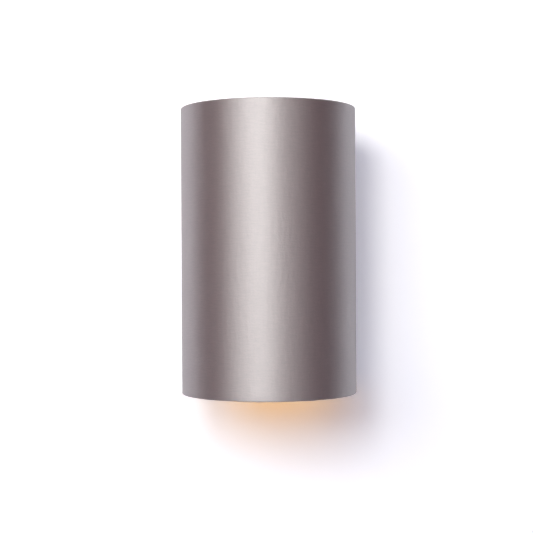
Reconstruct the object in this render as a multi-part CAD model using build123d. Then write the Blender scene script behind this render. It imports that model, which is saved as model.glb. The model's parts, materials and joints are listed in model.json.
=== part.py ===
from build123d import *
import os
from math import asin, cos, degrees, radians, sin, tan

# Tube wall light. A fabric cylinder stands off the wall on a short hollow arm and hides everything
# behind and inside it: a wall plate, a rose that covers the wiring, an elbow and a lampholder that
# hangs in the tube. Two threaded rings on the lampholder clamp the shade's three-legged fitter.
# Frame: origin on the wall at the centre of the wall plate, +Z up, the room towards -Y. Millimetres.

# Tube shade: liner, fabric over it, and a wire hoop rolled into each edge
SHADE_DIAMETER = 152.0
SHADE_HEIGHT = 248.0
SHADE_TOP = 65.0
FABRIC = 0.5
LINER = 0.8
HOOP_WIRE = 2.9
WIRE_GAP = 0.05
SEAM_LAP_ANGLE = 9.0
SEAM_LAP_THICKNESS = 0.6
SEAM_FROM_REAR = 24.0

# Wall plate and rose
WALL_GAP = 21.0
ROSE_WIDTH = 80.0
ROSE_HEIGHT = 116.0
ROSE_DEPTH = 16.0
ROSE_SHEET = 1.0
ROSE_CORNER = 12.0
ROSE_EDGE = 3.0
PLATE_WIDTH = 74.0
PLATE_HEIGHT = 108.0
PLATE_SHEET = 1.5
PLATE_CORNER = 8.0
SLOT_SPACING = 60.0
SLOT_LENGTH = 8.0
SLOT_WIDTH = 4.5
BOSS_RADIUS = 20.0
BOSS_TOP_RADIUS = 15.5
BOSS_RISE = 2.5
CABLE_HOLE_RADIUS = 7.0
CABLE_RADIUS = 4.0
ROSE_SCREW_Z = -25.0
ROSE_SCREW_DEPTH = 8.0

# Arm, elbow and lampholder
ARM_Z = 44.0
ARM_RADIUS = 5.0
ARM_BORE = 4.0
ARM_BACK_DEPTH = 8.0
ARM_WASHER = 0.8
ARM_NUT = 3.0
ELBOW_RADIUS = 7.5
ELBOW_BEND = 8.0
ELBOW_STRAIGHT = 10.0
SOCKET_DEPTH = 8.0
THREAD_GAP = 0.1
HOLDER_TOP = ARM_Z - ELBOW_BEND - ELBOW_STRAIGHT
HOLDER_SPLIT = -4.0
HOLDER_MOUTH = -28.0
HOLDER_RADIUS = 19.7
HOLDER_BORE = 13.9
HOLDER_NECK = 8.5
HOLDER_WALL = 1.5
LOCK_SCREW_Z = 23.5

# Fitter and its clamping rings
FITTER_Z = -11.0
FITTER_SHEET = 1.5
FITTER_HOLE = 21.0
FITTER_RADIUS = 30.0
FITTER_BEND = 10.0
FITTER_ANGLES = (-90.0, 30.0, 150.0)
RING_HEIGHT = 8.0
RING_FLANGE = 2.5
RING_FLANGE_RADIUS = 28.0
RING_HUB_RADIUS = 23.5
RING_BORE = 20.0
RING_RIBS = 18

# Bulb with an E27 cap and an A60 envelope
CAP_RADIUS = 13.0
CAP_SHELL = 0.6
CAP_END = -7.2
CAP_END_RADIUS = 9.6
BULB_TOP = HOLDER_MOUTH - 1.0
BULB_TIP = -1.8
BULB_TIP_BASE = -3.4
BULB_RADIUS = 30.0
BULB_BOTTOM = -110.0
BULB_JOINT = -68.0
BULB_WALL = 1.5
LED_BOARD_TOP = BULB_JOINT + 2.0
LED_CHIPS = 12

# Wiring
WIRE_RADIUS = 1.1
WIRE_SIDE = 1.6
EARTH_X = 24.0
EARTH_Z = 27.0
TERMINAL_PITCH = 9.0
TERMINAL_Z = -36.0
TERMINAL_LENGTH = 17.0
TERMINAL_HEIGHT = 11.0
TERMINAL_CORE = 4.0

SHADE_RADIUS = SHADE_DIAMETER / 2
SHADE_BOTTOM = SHADE_TOP - SHADE_HEIGHT
AXIS_Y = -(WALL_GAP + SHADE_RADIUS)
LINER_OUTER = SHADE_RADIUS - FABRIC
LINER_INNER = LINER_OUTER - LINER
HOOP_SEAT = HOOP_WIRE / 2 + WIRE_GAP
HOOP_RADIUS = LINER_INNER - HOOP_SEAT
ROLL_RADIUS = (SHADE_RADIUS - (HOOP_RADIUS - HOOP_SEAT - FABRIC)) / 2
ROLL_CENTRE = SHADE_RADIUS - ROLL_RADIUS


def on_axis(shape):
    """Moves a shape drawn about the Z axis to the tube's axis."""
    return Pos(0, AXIS_Y, 0) * shape


def turned(*outline):
    """Solid turned about Z from a closed outline of lines and arcs drawn as (radius, height)."""
    edges = [edge for line in outline for edge in line.edges()]
    return revolve(Plane.XZ * make_face(edges), Axis.Z)


def turned_polygon(*points):
    """Solid turned about Z from corners given as (radius, height)."""
    return turned(Polyline(*points, close=True))


def ring_on_y(outer, inner, depth, thickness, x=0.0, z=0.0):
    """Flat ring about a line along Y whose back face lies at depth from the wall."""
    face = Circle(outer) - Circle(inner)
    return extrude(Plane.XZ.offset(depth) * Pos(x, z) * face, thickness)


def rod_on_y(radius, depth, length, x=0.0, z=0.0):
    """Round rod along Y that starts at depth from the wall and runs towards the room."""
    return extrude(Plane.XZ.offset(depth) * Pos(x, z) * Circle(radius), length)


def wire_section():
    """Section of the shade's wire; eight flats across its diameter stand for its round form."""
    return Rot(0, 0, 22.5) * RegularPolygon(HOOP_WIRE / 2, 8, major_radius=False)


def bent_rod(section, run, rise, bend):
    """Rod along +X for the run, then up +Z for the rise, with one bend at the corner."""
    end = Plane.YZ * section
    corner = revolve(Pos(run - bend, 0) * end, Axis((run - bend, 0, bend), (0, -1, 0)), 90)
    upright = extrude(Pos(run, 0, bend) * section, rise - bend)
    return extrude(end, run - bend) + corner + upright


def wire_along(points, radii):
    """Insulated core along straight runs and tangent arcs; six flats stand for its round section."""
    path = FilletPolyline(*points, radius=radii)
    start = Plane(origin=path @ 0, z_dir=path % 0)
    return sweep(start * RegularPolygon(WIRE_RADIUS, 6), path=path)


def screw(head_radius, head_height, shank_radius, shank_length):
    """Cheese-head screw along Z with its seat at Z = 0 and its head upwards."""
    head = Pos(0, 0, head_height / 2) * Cylinder(head_radius, head_height)
    return head + Pos(0, 0, -shank_length / 2) * Cylinder(shank_radius, shank_length)


# ---------------------------------------------------------------- tube shade


def roll_outline(edge_z, inward):
    """Fabric section at one edge: over the liner's edge, round the hoop and tucked in behind it.

    inward is -1 at the top edge and +1 at the bottom, the way from the edge into the tube.
    """
    centre_z = edge_z + inward * ROLL_RADIUS
    seat = HOOP_SEAT
    cover = HOOP_SEAT + FABRIC
    flat = tan(radians(22.5))
    over_edge = ThreePointArc(
        (SHADE_RADIUS, centre_z),
        (ROLL_CENTRE, edge_z),
        (HOOP_RADIUS - cover, centre_z),
    )
    tucked = Polyline(
        (HOOP_RADIUS - cover, centre_z),
        (HOOP_RADIUS - cover, centre_z + inward * cover * flat),
        (HOOP_RADIUS - cover * flat, centre_z + inward * cover),
        (LINER_INNER, centre_z + inward * cover),
        (LINER_INNER, centre_z + inward * seat),
        (HOOP_RADIUS - seat * flat, centre_z + inward * seat),
        (HOOP_RADIUS - seat, centre_z + inward * seat * flat),
        (HOOP_RADIUS - seat, centre_z - inward * seat * flat),
        (HOOP_RADIUS - seat * flat, edge_z + inward * FABRIC),
        (LINER_OUTER - seat * flat, edge_z + inward * FABRIC),
        (LINER_OUTER, centre_z - inward * seat * flat),
        (LINER_OUTER, centre_z),
    )
    return [over_edge, tucked]


def arm_hole(radius):
    """Round hole through the shade's rear wall, where the arm goes in."""
    return rod_on_y(radius, WALL_GAP - 5, 20, z=ARM_Z)


def seam_lap():
    """Where the sheet laps over itself down the back, beside the arm's hole."""
    height = SHADE_HEIGHT - 2 * ROLL_RADIUS
    outer = SHADE_RADIUS + SEAM_LAP_THICKNESS
    start = 90 + SEAM_FROM_REAR
    lap = turned_polygon((LINER_OUTER + 0.1, 0), (outer, 0), (outer, height), (LINER_OUTER + 0.1, height))
    wedge = make_face(
        Polyline(
            (0, 0),
            (2 * outer * cos(radians(start)), 2 * outer * sin(radians(start))),
            (
                2 * outer * cos(radians(start + SEAM_LAP_ANGLE)),
                2 * outer * sin(radians(start + SEAM_LAP_ANGLE)),
            ),
            close=True,
        )
    )
    return Pos(0, 0, SHADE_BOTTOM + ROLL_RADIUS) * (lap & extrude(wedge, height))


def shade_fabric():
    low = SHADE_BOTTOM + ROLL_RADIUS
    high = SHADE_TOP - ROLL_RADIUS
    outline = [
        Line((SHADE_RADIUS, low), (SHADE_RADIUS, high)),
        Line((LINER_OUTER, low), (LINER_OUTER, high)),
    ]
    outline += roll_outline(SHADE_TOP, -1) + roll_outline(SHADE_BOTTOM, 1)
    cover = turned(*outline) + seam_lap()
    snip_height = HOOP_SEAT + FABRIC + 0.1
    snip = Pos(HOOP_RADIUS - 0.85, 0, high - snip_height / 2) * Box(4.8, 6.0, snip_height)
    for angle in FITTER_ANGLES:
        cover -= Rot(0, 0, angle) * snip
    return on_axis(cover) - arm_hole(6.5)


def shade_liner():
    end = ROLL_RADIUS + 0.2
    low = SHADE_BOTTOM + end
    high = SHADE_TOP - end
    tube = turned_polygon((LINER_INNER, low), (LINER_OUTER, low), (LINER_OUTER, high), (LINER_INNER, high))
    return on_axis(tube) - arm_hole(6.5)


def hoop(edge_z, inward):
    """Wire ring that the fabric is rolled round at one edge."""
    ring = revolve(Plane.XZ * (Pos(HOOP_RADIUS, 0) * wire_section()), Axis.Z)
    return on_axis(Pos(0, 0, edge_z + inward * ROLL_RADIUS) * ring)


def fitter_legs():
    """Three wires from the fitter ring out to the liner and up to the top hoop."""
    top = SHADE_TOP - ROLL_RADIUS - HOOP_WIRE / 2
    leg = bent_rod(wire_section(), HOOP_RADIUS - FITTER_RADIUS, top - FITTER_Z, FITTER_BEND)
    leg = Pos(FITTER_RADIUS, 0, FITTER_Z) * leg
    return Compound([on_axis(Rot(0, 0, angle) * leg) for angle in FITTER_ANGLES])


def fitter_ring():
    """Punched washer that the two threaded rings clamp."""
    ring = Cylinder(FITTER_RADIUS, FITTER_SHEET) - Cylinder(FITTER_HOLE, FITTER_SHEET)
    return on_axis(Pos(0, 0, FITTER_Z) * ring)


def shade_eyelet():
    """Rubber eyelet whose two flanges follow the curve of the shade's wall."""
    flange_radius = 10.0
    flange = 1.3
    shell = Cylinder(SHADE_RADIUS + flange, 60) - Cylinder(LINER_INNER - flange, 60)
    wall = Cylinder(SHADE_RADIUS + 0.02, 60) - Cylinder(LINER_INNER - 0.02, 60)
    shell = Pos(0, AXIS_Y, ARM_Z) * shell
    wall = Pos(0, AXIS_Y, ARM_Z) * wall
    flanges = (shell - wall) & rod_on_y(flange_radius, 10, 20, z=ARM_Z)
    barrel = shell & rod_on_y(6.4, 10, 20, z=ARM_Z)
    return flanges + barrel - rod_on_y(ARM_RADIUS + 0.2, 10, 20, z=ARM_Z)


# ---------------------------------------------------------------- wall plate and rose


def wall_plate():
    """Pressed plate with a raised cable boss and two slots for the wall screws."""
    front = PLATE_SHEET
    sheet = extrude(Plane.XZ * RectangleRounded(PLATE_WIDTH, PLATE_HEIGHT, PLATE_CORNER), front)
    sheet -= rod_on_y(BOSS_RADIUS + 0.3, 0, front)
    rim = BOSS_RADIUS + 0.6
    boss = make_face(
        Polyline(
            (rim, 0),
            (BOSS_RADIUS, 0),
            (BOSS_TOP_RADIUS, -BOSS_RISE),
            (CABLE_HOLE_RADIUS, -BOSS_RISE),
            (CABLE_HOLE_RADIUS, -BOSS_RISE - front),
            (BOSS_TOP_RADIUS + 0.6, -BOSS_RISE - front),
            (rim, -front),
            close=True,
        )
    )
    plate = sheet + revolve(boss, Axis.Y)
    for side in (-1, 1):
        slot = Pos(side * SLOT_SPACING / 2, 0) * SlotOverall(SLOT_LENGTH, SLOT_WIDTH)
        plate -= extrude(Plane.XZ * slot, front)
    plate -= rod_on_y(1.7, 0, front, x=EARTH_X, z=EARTH_Z)
    plate -= rod_on_y(1.2, 0, front, x=TERMINAL_PITCH / 2, z=TERMINAL_Z)
    return plate


def plate_brackets():
    """Angle bracket spot-welded to the plate at each side; the rose's screws bite into them."""
    outer = ROSE_WIDTH / 2 - ROSE_SHEET - 0.2
    foot_length = 9.0
    depth = 13.0
    width = 16.0
    sheet = PLATE_SHEET
    corner = (outer, -sheet)
    outline = Polyline(
        corner,
        (outer, -depth),
        (outer - sheet, -depth),
        (outer - sheet, -2 * sheet),
        (outer - foot_length, -2 * sheet),
        (outer - foot_length, -sheet),
        close=True,
    )
    bracket = Pos(0, 0, ROSE_SCREW_Z - width / 2) * extrude(make_face(outline), width)
    hole = Pos(outer, -ROSE_SCREW_DEPTH, ROSE_SCREW_Z) * Rot(0, 90, 0) * Cylinder(1.7, 8)
    right = bracket - hole
    return Compound([right, mirror(right, Plane.YZ)])


def cable_grommet():
    """Rubber grommet in the plate's boss; its back flange stays clear of the wall."""
    back = BOSS_RISE
    flange = 1.5
    body = rod_on_y(CABLE_HOLE_RADIUS - WIRE_GAP, back, PLATE_SHEET)
    body += rod_on_y(10, back - flange, flange)
    body += rod_on_y(10, back + PLATE_SHEET, flange)
    body = chamfer(body.edges().filter_by(GeomType.CIRCLE).sort_by(Axis.Y)[0], 0.6)
    return body - rod_on_y(CABLE_RADIUS, 0, 10)


def rose_cover():
    """Drawn steel cover, open to the wall, with the arm through its face."""
    outline = RectangleRounded(ROSE_WIDTH, ROSE_HEIGHT, ROSE_CORNER)
    outside = extrude(Plane.XZ * outline, ROSE_DEPTH)
    outside = fillet(outside.faces().sort_by(Axis.Y)[0].edges(), ROSE_EDGE)
    hollow = extrude(Plane.XZ * offset(outline, -ROSE_SHEET), ROSE_DEPTH - ROSE_SHEET)
    hollow = chamfer(hollow.faces().sort_by(Axis.Y)[0].edges(), ROSE_EDGE * 0.4)
    side_hole = Pos(0, -ROSE_SCREW_DEPTH, ROSE_SCREW_Z) * Rot(0, 90, 0) * Cylinder(2.15, ROSE_WIDTH + 2)
    return outside - hollow - side_hole - rod_on_y(ARM_RADIUS + THREAD_GAP, 0, 20, z=ARM_Z)


def rose_screws():
    """Slotted screws through the rose's sides."""
    slotted = screw(3.8, 2.4, 1.65, 6.5) - Pos(0, 0, 2.4) * Box(8.4, 1.1, 2.4)
    right = Pos(ROSE_WIDTH / 2, -ROSE_SCREW_DEPTH, ROSE_SCREW_Z) * Rot(0, 90, 0) * slotted
    return Compound([right, mirror(right, Plane.YZ)])


def earth_screw():
    return Pos(EARTH_X, -PLATE_SHEET - 0.8, EARTH_Z) * Rot(90, 0, 0) * screw(3.6, 2.2, 1.65, 2.2)


def earth_lug():
    """Ring terminal under the earth screw with a crimped barrel for its wire."""
    ring = ring_on_y(4.0, 2.1, PLATE_SHEET, 0.8, x=EARTH_X, z=EARTH_Z)
    neck = Pos(EARTH_X, -PLATE_SHEET - 0.4, EARTH_Z - 5.0) * Box(3.4, 0.8, 4.4)
    barrel = Cylinder(1.75, 5.0) - Cylinder(WIRE_RADIUS + WIRE_GAP, 5.0)
    return ring + neck + Pos(EARTH_X, -PLATE_SHEET - 1.75, EARTH_Z - 9.0) * barrel


# ---------------------------------------------------------------- wiring


def terminal_places():
    """X of each of the three poles."""
    return [-TERMINAL_PITCH, 0.0, TERMINAL_PITCH]


def tower_heights():
    """Z of the screw towers at the two ends of a pole."""
    return [TERMINAL_Z - 4.2, TERMINAL_Z + 4.2]


def terminal_block():
    """Three-pole screw block: a body for each pole with two screw towers, joined by a web."""
    back = PLATE_SHEET
    shoulder = 8.0
    block = Pos(0, -back - 2.0, TERMINAL_Z) * Box(2 * TERMINAL_PITCH, 4.0, 8.0)
    for x in terminal_places():
        block += Pos(x, -back - shoulder / 2, TERMINAL_Z) * Box(6.6, shoulder, TERMINAL_LENGTH)
        for z in tower_heights():
            block += Pos(x, -back - TERMINAL_HEIGHT / 2, z) * Box(5.4, TERMINAL_HEIGHT, 5.4)
    for x in terminal_places():
        block -= Pos(x, -back - TERMINAL_CORE, TERMINAL_Z) * Box(4.5, 4.5, TERMINAL_LENGTH)
        for z in tower_heights():
            block -= rod_on_y(1.6, back + TERMINAL_CORE, TERMINAL_HEIGHT, x=x, z=z)
    head_seat = rod_on_y(1.85, back + TERMINAL_CORE, 10, x=TERMINAL_PITCH / 2, z=TERMINAL_Z)
    return block - head_seat - rod_on_y(1.2, 0, 20, x=TERMINAL_PITCH / 2, z=TERMINAL_Z)


def terminal_bars():
    """Brass bars with a bore that join what enters each pole from above and below."""
    bar = Box(4.4, 4.4, 14.0) - Cylinder(1.4, 14.0)
    return Compound([Pos(x, -PLATE_SHEET - TERMINAL_CORE, TERMINAL_Z) * bar for x in terminal_places()])


def terminal_screws():
    """Clamping screws in the towers, one at each end of each pole."""
    start = PLATE_SHEET + TERMINAL_CORE + 2.2
    end = PLATE_SHEET + TERMINAL_HEIGHT - 1.0
    screws = [rod_on_y(1.5, start, end - start, x=x, z=z) for x in terminal_places() for z in tower_heights()]
    return Compound(screws)


def terminal_fixing_screw():
    """Screw between two poles that holds the block to the plate."""
    seat = Pos(TERMINAL_PITCH / 2, -PLATE_SHEET - TERMINAL_CORE, TERMINAL_Z)
    return seat * Rot(90, 0, 0) * screw(1.7, 1.3, 1.15, 5.4)


def lamp_wire(side):
    """Single core from the block up to the arm, through it and the elbow to the lampholder."""
    entry = TERMINAL_Z + TERMINAL_LENGTH / 2
    points = [
        (side * TERMINAL_PITCH, -PLATE_SHEET - TERMINAL_CORE, entry - 4.0),
        (side * TERMINAL_PITCH, -PLATE_SHEET - TERMINAL_CORE, entry + 4.5),
        (side * 13.0, -9.0, -8.0),
        (side * 13.0, -9.0, 18.0),
        (side * WIRE_SIDE, -4.4, 38.0),
        (side * WIRE_SIDE, -4.4, ARM_Z),
        (side * WIRE_SIDE, AXIS_Y, ARM_Z),
        (side * WIRE_SIDE, AXIS_Y, 19.0),
        (side * 8.0, AXIS_Y, 15.5),
        (side * 8.0, AXIS_Y, 10.2),
    ]
    return wire_along(points, [5.0, 8.0, 8.0, 2.4, 2.4, 8.0, 3.5, 1.3])


def earth_wire():
    """Core from the block's middle pole to the lug on the plate."""
    entry = TERMINAL_Z + TERMINAL_LENGTH / 2
    points = [
        (0, -PLATE_SHEET - TERMINAL_CORE, entry - 4.0),
        (0, -PLATE_SHEET - TERMINAL_CORE, entry + 4.0),
        (4.0, -12.2, -16.0),
        (21.0, -12.2, -8.0),
        (EARTH_X, -9.5, 6.0),
        (EARTH_X, -PLATE_SHEET - 1.75, 13.0),
        (EARTH_X, -PLATE_SHEET - 1.75, EARTH_Z - 7.4),
    ]
    return wire_along(points, [3.5, 4.0, 6.0, 6.0, 5.0])


# ---------------------------------------------------------------- arm and elbow


def arm_tube():
    """Hollow arm from inside the rose, through the shade's back, into the elbow."""
    front = -AXIS_Y - ELBOW_BEND - ELBOW_STRAIGHT + SOCKET_DEPTH
    return ring_on_y(ARM_RADIUS, ARM_BORE, ARM_BACK_DEPTH, front - ARM_BACK_DEPTH, z=ARM_Z)


def arm_collar():
    """Round collar screwed on the arm against the rose's face."""
    collar = ring_on_y(9.0, ARM_RADIUS + WIRE_GAP, ROSE_DEPTH, 3.0, z=ARM_Z)
    return chamfer(collar.faces().sort_by(Axis.Y)[0].edges().sort_by(SortBy.LENGTH)[-1], 0.8)


def arm_washer():
    """Toothed washer that bites into the rose's paint for the earth path."""
    radius = 8.6
    teeth = 10
    depth = ROSE_DEPTH - ROSE_SHEET - ARM_WASHER
    washer = ring_on_y(radius, ARM_RADIUS + WIRE_GAP, depth, ARM_WASHER, z=ARM_Z)
    face = Plane.XZ.offset(depth) * Pos(0, ARM_Z)
    for tooth in range(teeth):
        notch = Rot(0, 0, tooth * 360 / teeth) * Pos(radius, 0) * Rectangle(2.0, 1.4)
        washer -= extrude(face * notch, ARM_WASHER)
    return washer


def arm_nut():
    depth = ROSE_DEPTH - ROSE_SHEET - ARM_WASHER - ARM_NUT
    face = RegularPolygon(8.1, 6) - Circle(ARM_RADIUS + WIRE_GAP)
    return extrude(Plane.XZ.offset(depth) * Pos(0, ARM_Z) * face, ARM_NUT)


def elbow():
    """Cast elbow with a collar and a threaded socket at each end and two drilled bores that meet."""
    reach = ELBOW_BEND + ELBOW_STRAIGHT
    back = -AXIS_Y - reach
    collar = 2.6
    bore = ARM_BORE - 0.2
    past = 2.0
    start = Plane(origin=(0, -back, ARM_Z), x_dir=(0, -1, 0), z_dir=(0, 0, -1))
    body = start * bent_rod(Circle(ELBOW_RADIUS), reach, reach, ELBOW_BEND)
    body += rod_on_y(ELBOW_RADIUS + 1.0, back, collar, z=ARM_Z)
    body += Pos(0, AXIS_Y, HOLDER_TOP + collar / 2) * Cylinder(ELBOW_RADIUS + 1.0, collar)
    body -= rod_on_y(bore, back, reach + past, z=ARM_Z)
    body -= Pos(0, AXIS_Y, HOLDER_TOP + (reach + past) / 2) * Cylinder(bore, reach + past)
    body -= rod_on_y(ARM_RADIUS + WIRE_GAP, back, SOCKET_DEPTH, z=ARM_Z)
    lower_socket = Cylinder(ARM_RADIUS + WIRE_GAP, SOCKET_DEPTH)
    return body - Pos(0, AXIS_Y, HOLDER_TOP + SOCKET_DEPTH / 2) * lower_socket


def entry_nipple():
    """Threaded nipple that joins the elbow and the lampholder's cap."""
    length = 2 * SOCKET_DEPTH - 2.0
    tube = Cylinder(ARM_RADIUS, length) - Cylinder(3.5, length)
    return Pos(0, AXIS_Y, HOLDER_TOP + SOCKET_DEPTH - length / 2) * tube


# ---------------------------------------------------------------- lampholder


def holder_cap():
    """Domed cap with a neck for the nipple; it closes over the terminals."""
    neck = HOLDER_NECK
    outer = HOLDER_RADIUS - 0.2
    inner = outer - HOLDER_WALL
    bore = ARM_RADIUS + WIRE_GAP
    crown = 21.0
    rim = 6.0
    cap = turned(
        Polyline((bore, HOLDER_TOP), (neck, HOLDER_TOP), (neck, crown)),
        EllipticalCenterArc((neck, rim), outer - neck, crown - rim, start_angle=0, arc_size=90),
        Polyline(
            (outer, rim),
            (outer, HOLDER_SPLIT),
            (inner, HOLDER_SPLIT),
            (inner, rim + 2.6),
            (7.0, crown - HOLDER_WALL),
            (bore, crown - HOLDER_WALL),
            (bore, HOLDER_TOP),
        ),
    )
    return on_axis(cap) - rod_on_y(1.25, -AXIS_Y, 2 * neck, z=LOCK_SCREW_Z)


def holder_lock_screw():
    """Small grub screw in the cap's neck that stops the holder turning on its nipple."""
    near = ARM_RADIUS + WIRE_GAP
    far = HOLDER_NECK - 0.3
    return rod_on_y(1.2, near - AXIS_Y, far - near, z=LOCK_SCREW_Z)


def holder_skirt():
    """Threaded outer wall and inner sleeve, joined by a lip round the mouth."""
    spigot = HOLDER_RADIUS - 0.2 - HOLDER_WALL - 0.2
    shell_inner = 17.0
    sleeve = 15.3
    lip = HOLDER_MOUTH + 2.0
    skirt = turned_polygon(
        (HOLDER_BORE, HOLDER_MOUTH),
        (HOLDER_RADIUS, HOLDER_MOUTH),
        (HOLDER_RADIUS, HOLDER_SPLIT),
        (spigot, HOLDER_SPLIT),
        (spigot, -1.0),
        (16.0, -1.0),
        (shell_inner, -7.0),
        (shell_inner, lip),
        (sleeve, lip),
        (sleeve, -8.0),
        (HOLDER_BORE, -8.0),
    )
    mouth = skirt.edges().filter_by(GeomType.CIRCLE).group_by(Axis.Z)[0]
    return on_axis(chamfer(mouth, 0.5))


def holder_insert():
    """Ceramic puck on the skirt's spigot; it carries both contacts and the terminals."""
    low, high = -1.0, 8.0
    puck = Pos(0, 0, (low + high) / 2) * Cylinder(17.3, high - low)
    for side in (-1, 1):
        puck -= Pos(0, side * 17.0, (low + high) / 2) * Box(12, 8, high - low)
    puck += Pos(0, 0, high + 1.0) * Box(4.0, 22.0, 2.0)
    puck -= Pos(0, 0, high) * Cylinder(1.6, 20)
    return on_axis(puck)


def holder_terminals():
    """Brass clamps on the puck that take the two cores."""
    clamps = []
    for side in (-1, 1):
        clamp = Pos(side * 8.0, 0, 10.3) * Box(6.0, 7.0, 4.6)
        clamp -= Pos(side * 8.0, 0, 11.3) * Cylinder(WIRE_RADIUS + WIRE_GAP, 2.8)
        clamps.append(on_axis(clamp))
    return Compound(clamps)


def centre_contact():
    """Springy strip under the puck that meets the bulb's tip."""
    strip = Pos(2.0, 0, -1.25) * Box(12.0, 5.0, 0.5)
    return on_axis(fillet(strip.edges().filter_by(Axis.Z), 1.2))


def side_contact():
    """Curved strip inside the sleeve that meets the bulb's cap."""
    strip = Cylinder(HOLDER_BORE - 0.2, 11.0) - Cylinder(CAP_RADIUS + 0.3, 11.0)
    return on_axis(Pos(0, 0, -6.5) * (strip & (Pos(HOLDER_BORE, 0, 0) * Box(8, 6, 11))))


def shade_ring(flip):
    """Threaded ring with a clamping flange and a ribbed hub; flip turns the flange upwards."""
    bore = RING_BORE
    ring = turned_polygon(
        (bore, 0),
        (RING_FLANGE_RADIUS, 0),
        (RING_FLANGE_RADIUS, RING_FLANGE * 0.6),
        (RING_FLANGE_RADIUS - 1.2, RING_FLANGE),
        (RING_HUB_RADIUS, RING_FLANGE),
        (RING_HUB_RADIUS - 0.4, RING_HEIGHT),
        (bore, RING_HEIGHT),
    )
    rib_height = RING_HEIGHT - RING_FLANGE - 0.6
    rib = Pos(RING_HUB_RADIUS, 0, RING_FLANGE + rib_height / 2) * Box(1.5, 1.5, rib_height)
    for turn in range(RING_RIBS):
        ring += Rot(0, 0, turn * 360 / RING_RIBS) * rib
    if flip:
        ring = Rot(180, 0, 0) * ring
    seat = FITTER_Z + (-FITTER_SHEET / 2 if flip else FITTER_SHEET / 2)
    return on_axis(Pos(0, 0, seat) * ring)


# ---------------------------------------------------------------- bulb


def bulb_contact():
    """Solder tip of the cap with a bevelled edge."""
    height = BULB_TIP - BULB_TIP_BASE
    tip = Pos(0, 0, BULB_TIP_BASE + height / 2) * Cylinder(4.6, height)
    return on_axis(chamfer(tip.edges().sort_by(Axis.Z)[-1], height * 0.6, height * 1.2))


def bulb_insulator():
    """Glass insulator between the tip and the cap; it sits in the cap's turned-in end."""
    lip = CAP_END_RADIUS - WIRE_GAP
    end = CAP_END
    return on_axis(
        turned_polygon(
            (0, end - 1.0),
            (lip, end - 1.0),
            (lip, end),
            (10.4, end),
            (9.8, end + 1.0),
            (5.0, BULB_TIP_BASE),
            (0, BULB_TIP_BASE),
        )
    )


def bulb_cap():
    """Metal shell of the cap with its turned-in end."""
    shoulder = CAP_END - 2.2
    inner = CAP_RADIUS - CAP_SHELL
    return on_axis(
        turned_polygon(
            (CAP_RADIUS, BULB_TOP),
            (CAP_RADIUS, shoulder),
            (11.0, CAP_END),
            (CAP_END_RADIUS, CAP_END),
            (CAP_END_RADIUS, CAP_END - CAP_SHELL),
            (10.6, CAP_END - CAP_SHELL),
            (inner, shoulder - 0.3),
            (inner, BULB_TOP),
        )
    )


def bulb_housing():
    """Moulded neck that flares from the cap to the dome, with a spigot inside the cap."""
    centre = BULB_BOTTOM + BULB_RADIUS
    rise = BULB_JOINT - centre
    edge = (BULB_RADIUS**2 - rise**2) ** 0.5
    inner_edge = ((BULB_RADIUS - BULB_WALL) ** 2 - rise**2) ** 0.5
    spigot = CAP_RADIUS - CAP_SHELL - WIRE_GAP
    spigot_end = -14.0
    bore = 11.0
    ledge = 22.5
    return on_axis(
        turned(
            Spline((13.8, BULB_TOP), (18.4, -47.0), (edge, BULB_JOINT), tangents=[(0.12, -1), (rise, -edge)]),
            Polyline(
                (edge, BULB_JOINT),
                (inner_edge, BULB_JOINT),
                (inner_edge - 0.6, LED_BOARD_TOP),
                (ledge, LED_BOARD_TOP),
                (bore, BULB_TOP - 10.0),
                (bore, spigot_end),
                (spigot, spigot_end),
                (spigot, BULB_TOP),
                (13.8, BULB_TOP),
            ),
        )
    )


def bulb_dome():
    """Opal dome, spherical and closed at the bottom."""
    centre = BULB_BOTTOM + BULB_RADIUS
    inner_radius = BULB_RADIUS - BULB_WALL
    rise = BULB_JOINT - centre
    outer_arc = CenterArc((0, centre), BULB_RADIUS, -90, 90 + degrees(asin(rise / BULB_RADIUS)))
    inner_arc = CenterArc((0, centre), inner_radius, -90, 90 + degrees(asin(rise / inner_radius)))
    return on_axis(
        turned(
            outer_arc,
            inner_arc,
            Line(outer_arc @ 1, inner_arc @ 1),
            Line(outer_arc @ 0, inner_arc @ 0),
        )
    )


def led_board():
    """Disc against the housing's ledge with a ring of light-emitting chips on its lower face."""
    board = Pos(0, 0, LED_BOARD_TOP - 0.6) * Cylinder(24.6, 1.2)
    chip = Pos(17.0, 0, LED_BOARD_TOP - 1.5) * Box(3.0, 3.0, 0.6)
    for turn in range(LED_CHIPS):
        board += Rot(0, 0, turn * 360 / LED_CHIPS) * chip
    return on_axis(board)


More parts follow.
